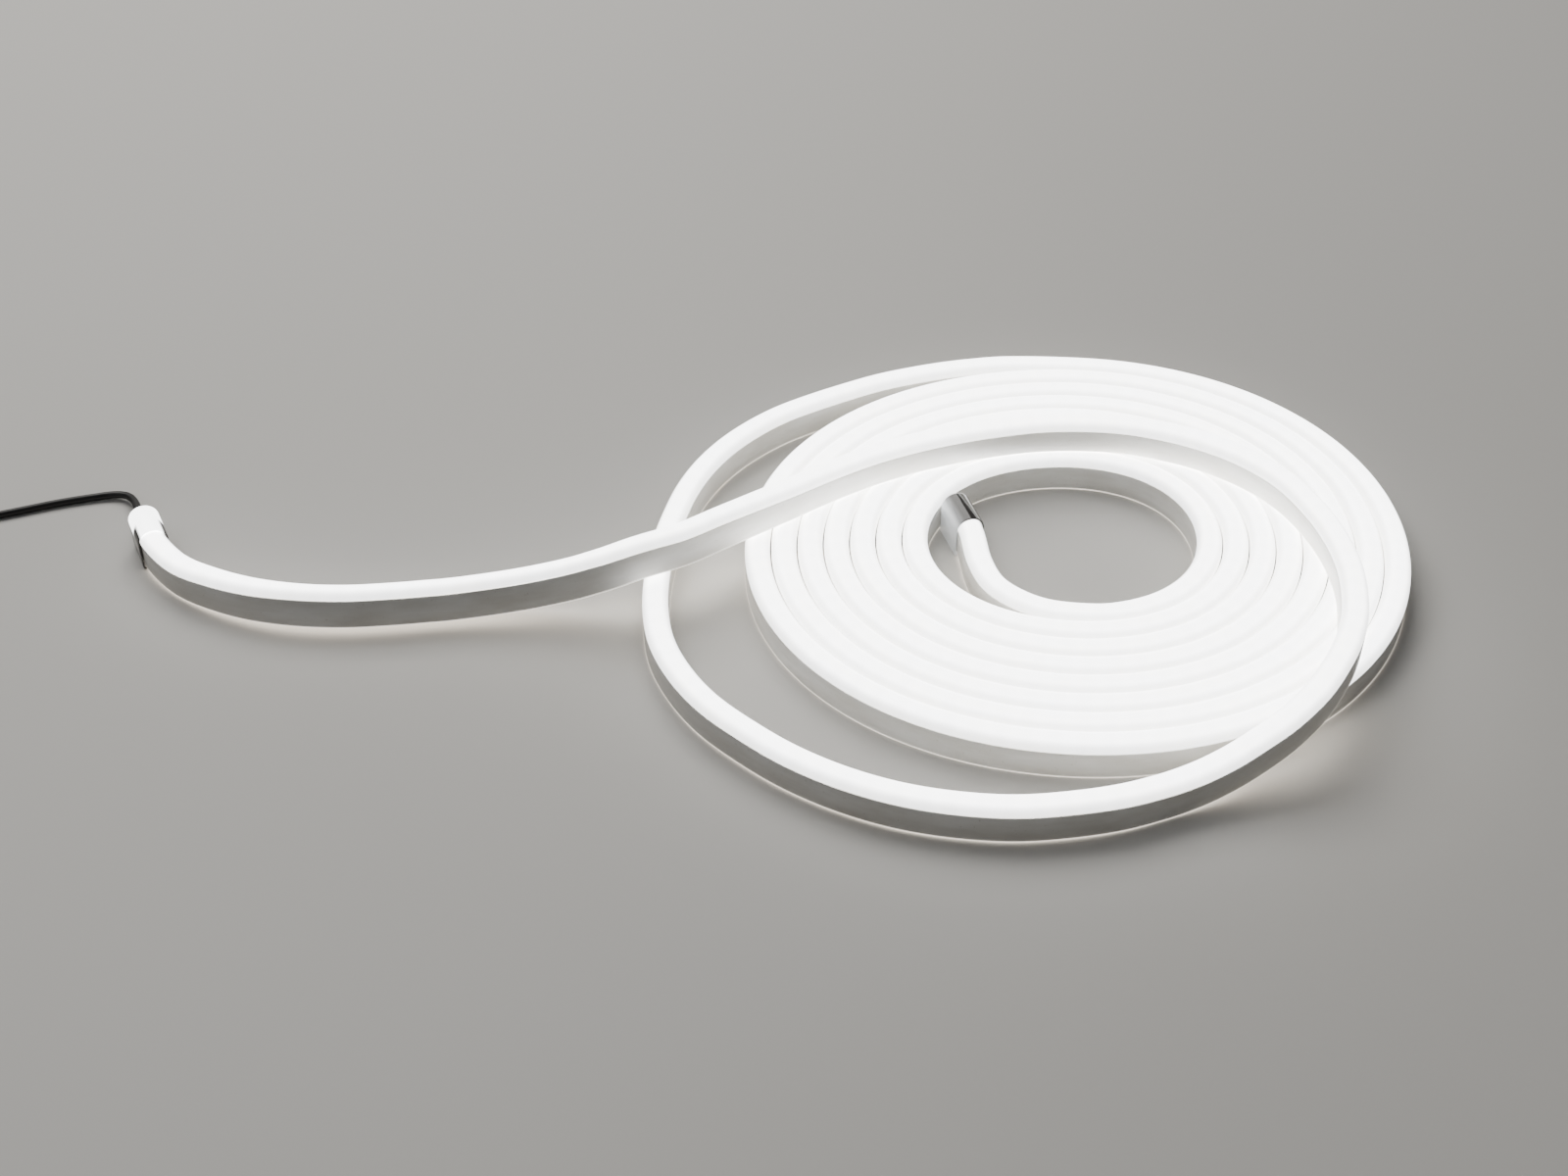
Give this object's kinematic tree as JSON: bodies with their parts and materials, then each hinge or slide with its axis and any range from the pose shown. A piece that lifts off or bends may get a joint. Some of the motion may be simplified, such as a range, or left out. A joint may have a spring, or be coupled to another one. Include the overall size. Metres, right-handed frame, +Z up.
{
  "type": "led strip light",
  "caption": "Flexible domed light strip wound into a flat coil, its outer end looped over the top and run out to a capped end with a thin power lead.",
  "frame": {"origin": "middle of the strip and its end caps seen from above, on the floor; the coil's centre is 107.9 mm along +X and 12.5 mm along +Y from it", "axes": "+X runs from the capped outer end towards the coil, +Y towards the back of the coil where the strip crosses over it, +Z up"},
  "size_m": [0.6507, 0.259, 0.0291],
  "materials": {
    "white_silicone": "satin",
    "milky_silicone": "satin",
    "grey_plastic": "gloss",
    "black_pvc": "satin",
    "black_plastic": "satin",
    "nickel_plate": "polished"
  },
  "bodies": {
    "root": {"jacket": "white_silicone", "diffuser": "milky_silicone", "end_cap_outer": "grey_plastic", "end_cap_inner": "grey_plastic", "lead_gland": "black_plastic", "power_lead": "black_pvc", "lead_coil": "black_pvc", "lead_tail": "black_pvc", "dc_plug": "black_plastic", "dc_plug_barrel": "nickel_plate"}
  },
  "joints": []
}
